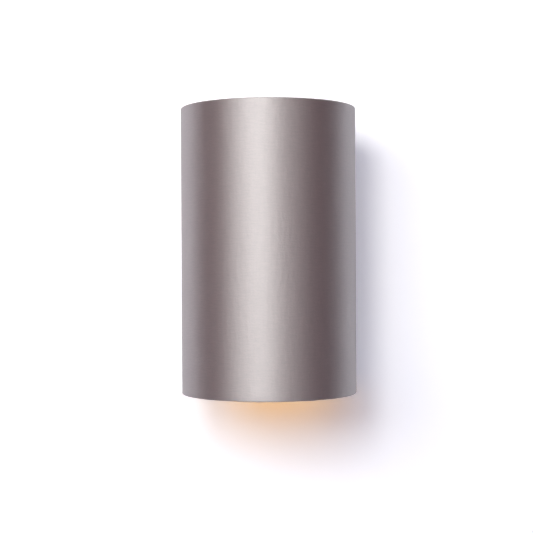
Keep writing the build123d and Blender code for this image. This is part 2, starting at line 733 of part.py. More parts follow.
PARTS = {
    "shade_fabric": shade_fabric,
    "shade_liner": shade_liner,
    "top_hoop": lambda: hoop(SHADE_TOP, -1),
    "bottom_hoop": lambda: hoop(SHADE_BOTTOM, 1),
    "fitter_legs": fitter_legs,
    "fitter_ring": fitter_ring,
    "arm_eyelet": shade_eyelet,
    "wall_plate": wall_plate,
    "plate_brackets": plate_brackets,
    "cable_grommet": cable_grommet,
    "rose_cover": rose_cover,
    "rose_screws": rose_screws,
    "earth_screw": earth_screw,
    "earth_lug": earth_lug,
    "terminal_block": terminal_block,
    "terminal_bars": terminal_bars,
    "terminal_screws": terminal_screws,
    "terminal_fixing_screw": terminal_fixing_screw,
    "live_wire": lambda: lamp_wire(-1),
    "neutral_wire": lambda: lamp_wire(1),
    "earth_wire": earth_wire,
    "arm_tube": arm_tube,
    "arm_collar": arm_collar,
    "arm_washer": arm_washer,
    "arm_nut": arm_nut,
    "elbow": elbow,
    "entry_nipple": entry_nipple,
    "holder_cap": holder_cap,
    "holder_lock_screw": holder_lock_screw,
    "holder_skirt": holder_skirt,
    "holder_insert": holder_insert,
    "holder_terminals": holder_terminals,
    "centre_contact": centre_contact,
    "side_contact": side_contact,
    "upper_shade_ring": lambda: shade_ring(flip=False),
    "lower_shade_ring": lambda: shade_ring(flip=True),
    "bulb_contact": bulb_contact,
    "bulb_insulator": bulb_insulator,
    "bulb_cap": bulb_cap,
    "bulb_housing": bulb_housing,
    "bulb_dome": bulb_dome,
    "led_board": led_board,
}

os.makedirs("parts", exist_ok=True)
for name, make in PARTS.items():
    export_step(make(), f"parts/{name}.step")
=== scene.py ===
import json
import math

import bmesh
import bpy
import numpy as np
from mathutils import Matrix, Vector, noise


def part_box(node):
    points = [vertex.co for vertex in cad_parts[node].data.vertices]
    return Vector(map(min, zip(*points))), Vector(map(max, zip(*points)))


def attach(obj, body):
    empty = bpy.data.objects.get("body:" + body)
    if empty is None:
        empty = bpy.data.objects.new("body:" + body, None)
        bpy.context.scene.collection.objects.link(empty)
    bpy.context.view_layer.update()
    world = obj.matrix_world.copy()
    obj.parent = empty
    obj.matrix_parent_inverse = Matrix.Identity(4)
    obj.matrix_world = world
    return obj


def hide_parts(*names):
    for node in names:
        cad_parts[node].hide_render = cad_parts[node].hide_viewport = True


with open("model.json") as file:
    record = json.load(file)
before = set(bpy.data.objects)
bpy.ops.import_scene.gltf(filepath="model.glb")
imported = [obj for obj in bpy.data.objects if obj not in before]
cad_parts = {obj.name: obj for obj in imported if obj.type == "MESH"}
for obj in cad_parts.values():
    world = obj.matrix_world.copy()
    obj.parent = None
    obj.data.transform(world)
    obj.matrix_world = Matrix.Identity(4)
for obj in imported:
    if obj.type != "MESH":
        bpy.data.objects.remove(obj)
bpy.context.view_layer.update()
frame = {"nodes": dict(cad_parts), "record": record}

# Tube wall light, dressed and lit. Metres throughout; the frame is the CAD's: +Z up, the wall at Y = 0,
# the room towards -Y.

MM = 0.001
NODES = frame["nodes"]
SLOTS = {part["node"]: part["material_slot"] for part in frame["record"]["subparts"]}


# ---------------------------------------------------------------- sizes read from the frame

def centre_of(node):
    low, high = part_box(node)
    return (low + high) / 2


def radius_of(node):
    low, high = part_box(node)
    return (high.x - low.x) / 2


shade_low, shade_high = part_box("shade_fabric")
AXIS = centre_of("shade_liner")
SHADE_RADIUS = (shade_high.x - shade_low.x) / 2
SHADE_TOP = shade_high.z
SHADE_BOTTOM = shade_low.z
SHADE_MIDDLE = (SHADE_TOP + SHADE_BOTTOM) / 2
LINER_OUTER = radius_of("shade_liner")
FABRIC = SHADE_RADIUS - LINER_OUTER
hoop_low, hoop_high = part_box("top_hoop")
HOOP_WIRE = (hoop_high.z - hoop_low.z) / 2
HOOP_RADIUS = radius_of("top_hoop") - HOOP_WIRE
ARM_Z = centre_of("arm_tube").z
leg_low, leg_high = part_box("fitter_legs")
FITTER_Z = leg_low.z + HOOP_WIRE
FITTER_RADIUS = radius_of("fitter_ring")
cap_low, cap_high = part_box("bulb_cap")
CAP_RADIUS = radius_of("bulb_cap")
skirt_low, skirt_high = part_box("holder_skirt")
SKIRT_RADIUS = radius_of("holder_skirt")

# Details that the boxes don't give, the same as in the CAD
SEAM_START = 114.0           # degrees from +X towards +Y, where the cloth starts under its own lap
SEAM_LAP = 9.0
LEG_ANGLES = (-90.0, 30.0, 150.0)
LEG_BEND = 10 * MM
E27_PITCH = 3.629 * MM
WIRE_RADIUS = 1.1 * MM


# ---------------------------------------------------------------- shapes

CRISP_ANGLE = 38             # degrees; a corner sharper than this stays crisp


def smooth(value):
    """Eases from 0 at 0 to 1 at 1."""
    value = min(max(value, 0.0), 1.0)
    return value * value * (3 - 2 * value)


def around(radius, angle, height):
    """The point at a radius and an angle, in radians, about the tube's axis."""
    return (AXIS.x + radius * math.cos(angle), AXIS.y + radius * math.sin(angle), height)


def level(degrees):
    """Level unit vector, at an angle from +X towards +Y."""
    turn = math.radians(degrees)
    return Vector((math.cos(turn), math.sin(turn), 0))


def arc(centre, radius, start, end, steps, rise=None):
    """Points on an arc in (radius, height); start and end are degrees, and the first point is left out.

    rise is the arc's half height where it is oval.
    """
    points = []
    for step in range(1, steps + 1):
        angle = math.radians(start + (end - start) * step / steps)
        across, up = radius * math.cos(angle), (rise or radius) * math.sin(angle)
        points.append((centre[0] + across, centre[1] + up))
    return points


def divided(outline, longest):
    """The outline with points added so that no side is longer than longest."""
    points = []
    for here, ahead in zip(outline, outline[1:] + outline[:1]):
        steps = max(1, math.ceil(math.dist(here, ahead) / longest))
        for step in range(steps):
            points.append(tuple(a + (b - a) * step / steps for a, b in zip(here, ahead)))
    return points


def link(name, data):
    """Adds an object that shows the data to the scene."""
    made = bpy.data.objects.new(name, data)
    bpy.context.scene.collection.objects.link(made)
    return made


def link_faces(name, points, faces):
    mesh = bpy.data.meshes.new(name)
    mesh.from_pydata(points, [], faces)
    return link(name, mesh)


def link_mesh(name, mesh):
    """Adds an object made from a finished bmesh, which is freed."""
    data = bpy.data.meshes.new(name)
    mesh.to_mesh(data)
    mesh.free()
    return link(name, data)


def settle(piece):
    """Applies the piece's modifiers and keeps its corners crisp."""
    bpy.context.view_layer.update()
    mesh = bpy.data.meshes.new_from_object(piece.evaluated_get(bpy.context.evaluated_depsgraph_get()))
    piece.modifiers.clear()
    piece.data = mesh
    mesh.shade_smooth()
    mesh.set_sharp_from_angle(angle=math.radians(CRISP_ANGLE))


def turned_mesh(name, outline, segments, shift=None):
    """Closed mesh turned about the tube's axis from an outline of (radius, height).

    shift gives what is added to a point's radius, from its angle, height and radius.
    """
    count = len(outline)
    points = []
    for segment in range(segments):
        angle = 2 * math.pi * segment / segments
        for radius, height in outline:
            reach = radius + (shift(angle, height, radius) if shift else 0.0)
            points.append(around(reach, angle, height))
    faces = []
    for segment in range(segments):
        here = segment * count
        beside = (segment + 1) % segments * count
        for step in range(count):
            after = (step + 1) % count
            faces.append((here + step, beside + step, beside + after, here + after))
    made = link_faces(name, points, faces)
    settle(made)
    return made


def round_curve(name, radius, smoothness):
    """Empty curve that shows its splines as round wires with closed ends."""
    curve = bpy.data.curves.new(name, "CURVE")
    curve.dimensions = "3D"
    curve.bevel_depth = radius
    curve.bevel_resolution = smoothness
    curve.use_fill_caps = True
    return curve


def add_spline(curve, kind, points):
    spline = curve.splines.new(kind)
    spline.points.add(len(points) - 1)
    for point, place in zip(spline.points, points):
        point.co = (*place, 1)
    return spline


def place_piece(piece, body, node=None, slot=None):
    """Rides a piece on its body, in a node's place and finish, or as an addition with the finish slot."""
    slot = slot or SLOTS[node]
    piece.data.materials.append(MATERIALS[slot])
    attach(piece, body)
    if node:
        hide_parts(node)


# ---------------------------------------------------------------- shader nodes

class Graph:
    """The shader nodes of a material or a world, added and joined in short lines."""

    def __init__(self, owner, output="ShaderNodeOutputMaterial"):
        owner.use_nodes = True
        self.tree = owner.node_tree
        self.tree.nodes.clear()
        self.output = self.add(output)

    def add(self, kind):
        return self.tree.nodes.new(kind)

    def join(self, source, target):
        self.tree.links.new(source, target)

    def feed(self, target, value):
        """Sets an input to a value, or joins it to another node's output."""
        if hasattr(value, "is_linked"):
            self.join(value, target)
        elif isinstance(value, tuple) and len(value) == 3 and target.type == "RGBA":
            target.default_value = (*value, 1)
        else:
            target.default_value = value

    def show(self, shader):
        """Makes a shader the one that the owner shows."""
        self.join(shader, self.output.inputs["Surface"])

    def plain(self, kind, color):
        """Shader of which only the colour is set."""
        node = self.add(kind)
        self.feed(node.inputs["Color"], color)
        return node.outputs[0]

    def mix(self, factor, first, second):
        """Shader that goes from the first at 0 to the second at 1."""
        node = self.add("ShaderNodeMixShader")
        self.feed(node.inputs[0], factor)
        self.join(first, node.inputs[1])
        self.join(second, node.inputs[2])
        return node.outputs[0]

    def rays(self):
        return self.add("ShaderNodeLightPath").outputs

    def coordinates(self, kind="Object"):
        return self.add("ShaderNodeTexCoord").outputs[kind]

    def part(self, vector, axis):
        node = self.add("ShaderNodeSeparateXYZ")
        self.feed(node.inputs[0], vector)
        return node.outputs[axis]

    def noise(self, vector, scale, detail=3.0):
        node = self.add("ShaderNodeTexNoise")
        self.feed(node.inputs["Vector"], vector)
        node.inputs["Scale"].default_value = scale
        node.inputs["Detail"].default_value = detail
        return node.outputs["Fac"]

    def streaks(self, vector, scales, detail=2.0):
        """Noise with a scale for each of the three directions."""
        node = self.add("ShaderNodeMapping")
        self.feed(node.inputs["Vector"], vector)
        node.inputs["Scale"].default_value = scales
        return self.noise(node.outputs[0], 1.0, detail)

    def cells(self, vector, scale, output="Color"):
        node = self.add("ShaderNodeTexVoronoi")
        self.feed(node.inputs["Vector"], vector)
        node.inputs["Scale"].default_value = scale
        return node.outputs[output]

    def math(self, operation, first, second):
        node = self.add("ShaderNodeMath")
        node.operation = operation
        self.feed(node.inputs[0], first)
        self.feed(node.inputs[1], second)
        return node.outputs[0]

    def sum(self, *weighted):
        """Adds up (value, weight) pairs."""
        total = None
        for value, weight in weighted:
            term = self.math("MULTIPLY", value, weight)
            total = term if total is None else self.math("ADD", total, term)
        return total

    def range(self, value, low, high, from_low=0.3, from_high=0.7):
        """Maps from_low to low and from_high to high, and goes no further; most noise lies in 0.3 to 0.7."""
        node = self.add("ShaderNodeMapRange")
        self.feed(node.inputs["Value"], value)
        node.inputs["From Min"].default_value = from_low
        node.inputs["From Max"].default_value = from_high
        node.inputs["To Min"].default_value = low
        node.inputs["To Max"].default_value = high
        return node.outputs[0]

    def blend(self, factor, first, second):
        """Colour that goes from the first at 0 to the second at 1."""
        node = self.add("ShaderNodeMix")
        node.data_type = "RGBA"
        self.feed(node.inputs["Factor"], factor)
        self.feed(node.inputs["A"], first)
        self.feed(node.inputs["B"], second)
        return node.outputs["Result"]

    def bump(self, height, depth, normal=None):
        """Raises the surface by depth metres where height is 1."""
        node = self.add("ShaderNodeBump")
        node.inputs["Distance"].default_value = depth
        self.feed(node.inputs["Height"], height)
        if normal:
            self.feed(node.inputs["Normal"], normal)
        return node.outputs[0]


class Finish(Graph):
    """A material of one Principled shader."""

    def __init__(self, name):
        self.material = bpy.data.materials.new(name)
        super().__init__(self.material)
        self.shader = self.add("ShaderNodeBsdfPrincipled")
        self.show(self.shader.outputs[0])

    def set(self, **values):
        """Sets the shader's inputs, named with underscores for spaces."""
        for name, value in values.items():
            self.feed(self.shader.inputs[name.replace("_", " ")], value)
        return self.material


# ---------------------------------------------------------------- camera, light and room

CAMERA_DISTANCE = 1.071      # from the tube's axis
CAMERA_LEFT = 0.0020         # of the tube's axis
CAMERA_BELOW = 0.0137        # the tube's middle
CAMERA_ROLL = 0.3            # degrees
SENSOR = 36.0
FOCAL_LENGTH = 82.85

KEY_COLOR = (1.0, 0.985, 0.97)
FILL_COLOR = (1.0, 0.99, 0.98)
BACK_COLOR = (0.97, 0.97, 1.0)
GLOW_COLOR = (1.0, 0.55, 0.08)
GLOW_POWER = 0.0138
GLOW_SIZE = (0.110, 0.012)
GLOW_SPREAD = 115            # degrees
GLOW_TILT = 78               # degrees from straight down, towards the wall
GLOW_RIGHT = 8 * MM          # of the tube's axis
GLOW_Y = -62 * MM
GLOW_RISE = 1 * MM           # above the tube's lower edge

WHITE = (1.0, 1.0, 1.0)
AMBIENT = (0.044, 0.048, 0.135)
ROOM_MIRRORED = (0.062, 0.060, 0.064)    # what gloss shows of the room in front
MIRRORED_WHITE = (0.20, 0.50)            # gloss goes over to white between these Y parts of its direction

WALL_SIZE = (0.9, 3.2)
WALL_Y = 0.6 * MM
WALL_COLOR = (0.82, 0.82, 0.82)
WALL_LIFTED = (1.33, 1.33, 1.33)         # the camera sees this colour, white where nothing shades it
WALL_MIRRORED = 0.60                     # share of that lift that gloss shows
WALL_CLEAR = 3 * MM                      # gloss closer to the wall than this sees through it
FLOOR_SIZE = (6.0, 6.0)
FLOOR_Z = -1.3
FLOOR_LIFT = 0.78                        # the camera sees the floor this pale where no light reaches it


def add_camera():
    data = bpy.data.cameras.new("camera")
    data.sensor_width = SENSOR
    data.lens = FOCAL_LENGTH
    camera = link("camera", data)
    camera.location = (AXIS.x - CAMERA_LEFT, AXIS.y - CAMERA_DISTANCE, SHADE_MIDDLE - CAMERA_BELOW)
    camera.rotation_euler = (math.radians(90), math.radians(CAMERA_ROLL), 0)
    bpy.context.scene.camera = camera


def area_light(name, color, power, width, height):
    data = bpy.data.lights.new(name, "AREA")
    data.shape = "RECTANGLE"
    data.size = width
    data.size_y = height
    data.energy = power
    data.color = color
    return link(name, data)


def add_softbox(name, color, power, side, up, distance, width, height):
    """Area light aimed at the tube's middle; side and up are degrees from straight in front of it."""
    light = area_light(name, color, power, width, height)
    target = Vector((AXIS.x, AXIS.y, SHADE_MIDDLE))
    turn, rise = math.radians(side), math.radians(up)
    away = Vector((math.sin(turn) * math.cos(rise), -math.cos(turn) * math.cos(rise), math.sin(rise)))
    light.location = target + away * distance
    light.rotation_euler = (-away).to_track_quat("-Z", "Y").to_euler()


def add_glow():
    """The lamp's warm light that leaves the mouth towards the wall."""
    light = area_light("mouth_glow", GLOW_COLOR, GLOW_POWER, *GLOW_SIZE)
    light.data.spread = math.radians(GLOW_SPREAD)
    light.location = (AXIS.x + GLOW_RIGHT, GLOW_Y, SHADE_BOTTOM + GLOW_RISE)
    light.rotation_euler = (math.radians(GLOW_TILT), 0, 0)
    light.visible_camera = False
    light.visible_glossy = False


def add_lights():
    add_softbox("key", KEY_COLOR, power=24.0, side=-18, up=17.5, distance=1.7, width=1.96, height=0.8)
    add_softbox("key_core", KEY_COLOR, power=6.8, side=-11.5, up=17, distance=1.7, width=0.33, height=0.6)
    add_softbox("fill", FILL_COLOR, power=2.3, side=32, up=12, distance=1.7, width=0.7, height=1.0)
    add_softbox("back", BACK_COLOR, power=4.5, side=180, up=52, distance=1.6, width=1.0, height=1.0)
    add_glow()


def add_world():
    """White behind the object where the camera, gloss or glass sees it; a dim lavender room elsewhere."""
    world = bpy.data.worlds.new("studio")
    bpy.context.scene.world = world
    graph = Graph(world, "ShaderNodeOutputWorld")
    rays = graph.rays()
    glossy = rays["Is Glossy Ray"]
    behind = graph.range(graph.part(graph.coordinates("Generated"), "Y"), 0, 1, *MIRRORED_WHITE)
    mirrored = graph.math("MAXIMUM", glossy, rays["Is Transmission Ray"])
    mirrored = graph.math("MULTIPLY", mirrored, behind)
    room = graph.plain("ShaderNodeBackground", graph.blend(glossy, AMBIENT, ROOM_MIRRORED))
    white = graph.plain("ShaderNodeBackground", WHITE)
    graph.show(graph.mix(graph.math("MAXIMUM", rays["Is Camera Ray"], mirrored), room, white))


def plane(name, size, location, rotation):
    across, along = size[0] / 2, size[1] / 2
    corners = [(-across, -along, 0), (across, -along, 0), (across, along, 0), (-across, along, 0)]
    made = link_faces(name, corners, [(0, 1, 2, 3)])
    made.location = location
    made.rotation_euler = rotation
    return made


def wall_material():
    """Matt white wall, which the camera sees lifted to white where nothing shades it.

    The camera sees through its back. Gloss that lies right against it sees through it too, so the plate's
    back shows from behind.
    """
    material = bpy.data.materials.new("wall")
    graph = Graph(material)
    rays = graph.rays()
    glossy = rays["Is Glossy Ray"]
    lifted = graph.math("MAXIMUM", rays["Is Camera Ray"], graph.math("MULTIPLY", glossy, WALL_MIRRORED))
    matt = graph.plain("ShaderNodeBsdfDiffuse", graph.blend(lifted, WALL_COLOR, WALL_LIFTED))
    clear = graph.plain("ShaderNodeBsdfTransparent", WHITE)
    against = graph.math("MULTIPLY", glossy, graph.math("LESS_THAN", rays["Ray Length"], WALL_CLEAR))
    back = graph.add("ShaderNodeNewGeometry").outputs["Backfacing"]
    through = graph.math("MAXIMUM", back, rays["Is Shadow Ray"])
    graph.show(graph.mix(graph.math("MAXIMUM", through, against), matt, clear))
    return material


def floor_material():
    """Pale matt floor with a fine grain, lifted towards white for the camera."""
    graph = Finish("floor")
    grain = graph.noise(graph.coordinates(), 40, detail=4)
    return graph.set(
        Base_Color=graph.blend(grain, (0.58, 0.58, 0.60), (0.62, 0.62, 0.64)),
        Roughness=0.8,
        Emission_Color=WHITE,
        Emission_Strength=graph.math("MULTIPLY", graph.rays()["Is Camera Ray"], FLOOR_LIFT),
    )


def add_room():
    wall = plane("wall", WALL_SIZE, (0, WALL_Y, 0), (math.radians(90), 0, 0))
    wall.data.materials.append(wall_material())
    floor = plane("floor", FLOOR_SIZE, (0, 0, FLOOR_Z), (0, 0, 0))
    floor.data.materials.append(floor_material())


# ---------------------------------------------------------------- materials
# Scales are per metre: a noise of scale 1000 changes about every millimetre.

FABRIC_DARK = (0.089, 0.026, 0.022)
FABRIC_LIGHT = (0.134, 0.045, 0.038)
FABRIC_TONES = (0.42, 0.58)              # where most of the threads' tone lies
FABRIC_ROUGHNESS = (0.652, 0.602)        # of the dark threads and of the light ones
FABRIC_IOR = 3.6
FABRIC_SPECULAR = 0.8
FABRIC_ANISOTROPY = 0.663
LAMP_COLOR = (1.0, 0.74, 0.46)           # at the dome's lower end
LAMP_TOP_COLOR = (0.95, 0.63, 0.36)      # where the dome meets its housing
LAMP_STRENGTH = 1.05


def shades(color, variation):
    """A darker and a lighter neighbour of a colour."""
    darker = tuple(channel * (1 - variation) for channel in color)
    lighter = tuple(min(1.0, channel * (1 + variation)) for channel in color)
    return darker, lighter


def satin_fabric():
    """Taupe satin: long shiny weft threads that run round the tube, with short slubs, over a fine warp."""
    graph = Finish("satin_fabric")
    place = graph.coordinates("UV")
    weft = graph.streaks(place, (90, 3400, 1))
    warp = graph.streaks(place, (3800, 160, 1))
    slubs = graph.streaks(place, (130, 680, 1))
    grain = graph.streaks(place, (620, 850, 1))
    shimmer = graph.streaks(place, (330, 80, 1), detail=3)
    threads = graph.sum((weft, 0.55), (warp, 0.45))
    tone = graph.sum((threads, 0.2), (slubs, 0.35), (grain, 0.3), (shimmer, 0.15))
    tangent = graph.add("ShaderNodeTangent")
    tangent.direction_type = "RADIAL"
    tangent.axis = "Z"
    relief = graph.bump(threads, 0.05 * MM)
    relief = graph.bump(slubs, 0.06 * MM, relief)
    relief = graph.bump(grain, 0.07 * MM, relief)
    relief = graph.bump(shimmer, 0.12 * MM, relief)
    return graph.set(
        Base_Color=graph.blend(graph.range(tone, 0, 1, *FABRIC_TONES), FABRIC_DARK, FABRIC_LIGHT),
        Roughness=graph.range(tone, *FABRIC_ROUGHNESS, *FABRIC_TONES),
        IOR=FABRIC_IOR,
        Specular_IOR_Level=FABRIC_SPECULAR,
        Anisotropic=FABRIC_ANISOTROPY,
        Anisotropic_Rotation=0.25,
        Tangent=tangent.outputs[0],
        Normal=relief,
    )


def copper_liner():
    """Satin copper film with faint ripples and the shine of a laminated foil."""
    graph = Finish("copper_liner")
    place = graph.coordinates()
    ripple = graph.streaks(place, (60, 60, 12))
    grain = graph.streaks(place, (900, 900, 120), detail=3)
    return graph.set(
        Base_Color=graph.blend(grain, (0.74, 0.44, 0.26), (0.86, 0.56, 0.35)),
        Roughness=graph.range(grain, 0.34, 0.44),
        Metallic=0.85,
        Normal=graph.bump(grain, 0.02 * MM, graph.bump(ripple, 0.4 * MM)),
    )


def powder_coat(name, color):
    """Powder coat: soft orange peel with a fine grit in it."""
    graph = Finish(name)
    place = graph.coordinates()
    peel = graph.noise(place, 650, detail=1)
    grit = graph.noise(place, 4200, detail=2)
    return graph.set(
        Base_Color=graph.blend(graph.range(peel, 0, 1), *shades(color, 0.02)),
        Roughness=graph.range(grit, 0.36, 0.46),
        Normal=graph.bump(grit, 0.004 * MM, graph.bump(peel, 0.03 * MM)),
        Coat_Weight=0.15,
        Coat_Roughness=0.25,
    )


def plated(name, color, roughness, flake):
    """Plated metal: faint crystals of the plating under fine rubbed lines."""
    graph = Finish(name)
    place = graph.coordinates()
    crystals = graph.cells(place, flake)
    lines = graph.streaks(place, (5200, 300, 900), detail=3)
    stain = graph.noise(place, 60, detail=3)
    tone = graph.sum((crystals, 0.35), (lines, 0.35), (stain, 0.30))
    return graph.set(
        Base_Color=graph.blend(graph.range(tone, 0, 1), *shades(color, 0.10)),
        Roughness=graph.range(tone, roughness * 1.25, roughness * 0.8),
        Metallic=1.0,
        Normal=graph.bump(lines, 0.006 * MM),
    )


def moulded(name, color, roughness, **more):
    """Moulded plastic or rubber with the mould's spark-eroded texture."""
    graph = Finish(name)
    place = graph.coordinates()
    eroded = graph.cells(place, 2600, "Distance")
    cloud = graph.noise(place, 90, detail=3)
    return graph.set(
        Base_Color=graph.blend(graph.range(cloud, 0, 1), *shades(color, 0.035)),
        Roughness=graph.range(eroded, roughness * 0.9, roughness * 1.1, 0.0, 0.8),
        Normal=graph.bump(eroded, 0.012 * MM),
        **more,
    )


def ceramic():
    """Unglazed pressed ceramic with small dark specks."""
    graph = Finish("holder_ceramic")
    place = graph.coordinates()
    grain = graph.noise(place, 1500, detail=4)
    specks = graph.range(graph.cells(place, 700, "Distance"), 1, 0, 0.05, 0.12)
    body = graph.blend(graph.range(grain, 0, 1), (0.78, 0.76, 0.71), (0.86, 0.84, 0.79))
    return graph.set(
        Base_Color=graph.blend(specks, body, (0.45, 0.41, 0.36)),
        Roughness=graph.range(grain, 0.55, 0.72),
        Normal=graph.bump(grain, 0.03 * MM),
    )


def black_glass():
    """Black glass with a faint mottle."""
    graph = Finish("black_glass")
    place = graph.coordinates()
    fine = graph.noise(place, 600, detail=4)
    broad = graph.noise(place, 15, detail=2)
    mottled = graph.sum((fine, 0.5), (broad, 0.5))
    return graph.set(
        Base_Color=graph.blend(graph.range(mottled, 0, 1), *shades((0.012, 0.012, 0.014), 0.05)),
        Roughness=graph.range(mottled, 0.102, 0.138),
        Normal=graph.bump(fine, 0.01 * MM),
    )


def earth_insulation():
    """Green core insulation with a yellow stripe along it."""
    graph = Finish("earth_insulation")
    turn = graph.part(graph.coordinates("UV"), "Y")
    stripe = graph.range(graph.math("PINGPONG", turn, 0.5), 0, 1, 0.22, 0.26)
    grain = graph.noise(graph.coordinates(), 900, detail=2)
    return graph.set(
        Base_Color=graph.blend(stripe, (0.05, 0.32, 0.08), (0.85, 0.72, 0.05)),
        Roughness=graph.range(grain, 0.34, 0.46),
        Normal=graph.bump(grain, 0.01 * MM),
    )


def led_board():
    """White solder mask with yellow chips standing below it."""
    graph = Finish("led_board")
    place = graph.coordinates()
    board_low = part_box("led_board")[0].z
    chips = graph.range(graph.part(place, "Z"), 1, 0, board_low + 0.55 * MM, board_low + 0.6 * MM)
    grain = graph.noise(place, 1200, detail=3)
    mask = graph.blend(grain, (0.80, 0.81, 0.80), (0.88, 0.89, 0.88))
    return graph.set(
        Base_Color=graph.blend(chips, mask, (0.82, 0.66, 0.12)),
        Roughness=graph.range(grain, 0.30, 0.45),
        Normal=graph.bump(grain, 0.01 * MM),
    )


def opal_dome():
    """Opal diffuser, lit from inside and a little brighter towards its lower end."""
    graph = Finish("opal_plastic")
    place = graph.coordinates()
    grain = graph.noise(place, 500, detail=3)
    low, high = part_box("bulb_dome")
    higher = graph.range(graph.part(place, "Z"), 0, 1, low.z, high.z)
    return graph.set(
        Base_Color=graph.blend(grain, (0.90, 0.87, 0.80), (0.95, 0.92, 0.86)),
        Roughness=graph.range(grain, 0.40, 0.50),
        Emission_Color=graph.blend(higher, LAMP_COLOR, LAMP_TOP_COLOR),
        Emission_Strength=LAMP_STRENGTH,
        Normal=graph.bump(grain, 0.01 * MM),
    )


def make_materials():
    """One material for each slot of the record."""
    return {
        "satin_fabric": satin_fabric(),
        "copper_liner": copper_liner(),
        "white_wire": powder_coat("white_wire", (0.80, 0.79, 0.77)),
        "white_steel": powder_coat("white_steel", (0.83, 0.83, 0.81)),
        "white_rubber": moulded("white_rubber", (0.74, 0.73, 0.70), 0.72),
        "grey_rubber": moulded("grey_rubber", (0.09, 0.09, 0.095), 0.75),
        "zinc_steel": plated("zinc_steel", (0.62, 0.64, 0.66), 0.34, 420),
        "nickel_steel": plated("nickel_steel", (0.72, 0.69, 0.64), 0.22, 900),
        "tinned_copper": plated("tinned_copper", (0.70, 0.69, 0.66), 0.36, 600),
        "brass": plated("brass", (0.80, 0.58, 0.25), 0.28, 800),
        "solder": plated("solder", (0.60, 0.60, 0.60), 0.38, 1500),
        "terminal_plastic": moulded("terminal_plastic", (0.74, 0.74, 0.70), 0.48, Subsurface_Weight=0.1),
        "live_insulation": moulded("live_insulation", (0.16, 0.06, 0.03), 0.40),
        "neutral_insulation": moulded("neutral_insulation", (0.02, 0.10, 0.45), 0.40),
        "earth_insulation": earth_insulation(),
        "holder_plastic": moulded("holder_plastic", (0.72, 0.71, 0.67), 0.42),
        "holder_ceramic": ceramic(),
        "ring_plastic": moulded("ring_plastic", (0.76, 0.75, 0.71), 0.45),
        "black_glass": black_glass(),
        "bulb_plastic": moulded("bulb_plastic", (0.82, 0.82, 0.79), 0.38),
        "opal_plastic": opal_dome(),
        "led_board": led_board(),
    }


def dress_nodes():
    for name, node in NODES.items():
        node.data.materials.clear()
        node.data.materials.append(MATERIALS[SLOTS[name]])


# ---------------------------------------------------------------- shade

CLOTH_CORNER = 1.1 * MM      # radius of the cloth's outer edges
CLOTH_COLUMNS = 287          # faces round the tube
CLOTH_RISES = 44             # faces up its side
CLOTH_SHARE = 0.84           # of the solid fabric's thickness
LAP_CLIMB = 3.0              # degrees in which the lap climbs over the cloth's start
LAP_PRESSED = 0.3            # share of the lap's height that is left at the hems
HEM = 5 * MM
RIPPLE = 0.03 * MM
RIPPLE_ROUND = 2.2           # how fast the ripple changes round the tube
RIPPLE_UP = 14               # and along it, per metre
ARM_HOLE = 7.8 * MM          # radius
SNIP = 3 * MM                # half width of the snips for the legs
SNIP_LOW = 6 * MM            # below the tube's top
SNIP_HIGH = 2.4 * MM         # below the tube's top
LINER_LAP = (112.0, 120.0)   # degrees from +X towards +Y
LINER_HEM = 7 * MM           # from the tube's edges to the liner's
HOOP_SECTION = 16            # sides of a hoop wire's section
HOOP_SEGMENTS = 160
BEAD = (1.46 * MM, 2.2 * MM, 1.5 * MM)   # half sizes of a weld bead: outwards, round the tube and up
BEAD_LUMP = 0.2 * MM
BEAD_LUMPS = 900             # how fast the lumps change, per metre


def fabric_line():
    """The cloth's middle line in section.

    It is tucked behind the lower hoop, goes up outside and is tucked behind the upper hoop.
    """
    middle = SHADE_RADIUS - FABRIC / 2
    corner = CLOTH_CORNER
    bottom, top = SHADE_BOTTOM + FABRIC / 2, SHADE_TOP - FABRIC / 2
    low, high = (HOOP_RADIUS, centre_of("bottom_hoop").z), (HOOP_RADIUS, centre_of("top_hoop").z)
    seat = HOOP_WIRE + FABRIC * 0.6          # from a hoop's middle to the cloth tucked round it
    over = top - high[1]                     # and to the cloth at the tube's edge
    tail = LINER_OUTER - 1.2 * MM            # radius where the tuck ends
    between = (tail + HOOP_RADIUS) / 2
    tuck_steps, edge_steps, corner_steps = 6, 8, 6
    line = [(tail, low[1] + seat), (between, low[1] + seat), (HOOP_RADIUS, low[1] + seat)]
    line += arc(low, seat, 90, 180, tuck_steps)
    line += arc(low, seat, 180, 270, edge_steps, rise=over)
    line += [(middle - corner, bottom)]
    line += arc((middle - corner, bottom + corner), corner, 270, 360, corner_steps)
    for step in range(1, CLOTH_RISES + 1):
        line.append((middle, bottom + corner + (top - bottom - 2 * corner) * step / CLOTH_RISES))
    line += arc((middle - corner, top - corner), corner, 0, 90, corner_steps)
    line += [(HOOP_RADIUS, top)]
    line += arc(high, seat, 90, 180, edge_steps, rise=over)
    line += arc(high, seat, 180, 270, tuck_steps)
    line += [(between, high[1] - seat), (tail, high[1] - seat)]
    return np.array(line)


def section_frame(line):
    """For each point of a section line, its outward direction and the length up to it."""
    along = np.gradient(line, axis=0)
    along /= np.linalg.norm(along, axis=1)[:, None]
    outward = np.stack([along[:, 1], -along[:, 0]], axis=1)
    length = np.concatenate([[0], np.cumsum(np.linalg.norm(np.diff(line, axis=0), axis=1))])
    return outward, length


def cut_away(point):
    """Where the cloth is cut: the arm's hole, and a snip for each leg where the hem is tucked in."""
    if point.y > AXIS.y and math.hypot(point.x, point.z - ARM_Z) < ARM_HOLE:
        return True
    offset = point - Vector((AXIS.x, AXIS.y, point.z))
    inside = offset.length < HOOP_RADIUS + HOOP_WIRE
    if not (inside and SHADE_TOP - SNIP_LOW < point.z < SHADE_TOP - SNIP_HIGH):
        return False
    return any(
        offset.dot(level(angle)) > 0 and abs(offset.dot(level(angle + 90))) < SNIP
        for angle in LEG_ANGLES
    )


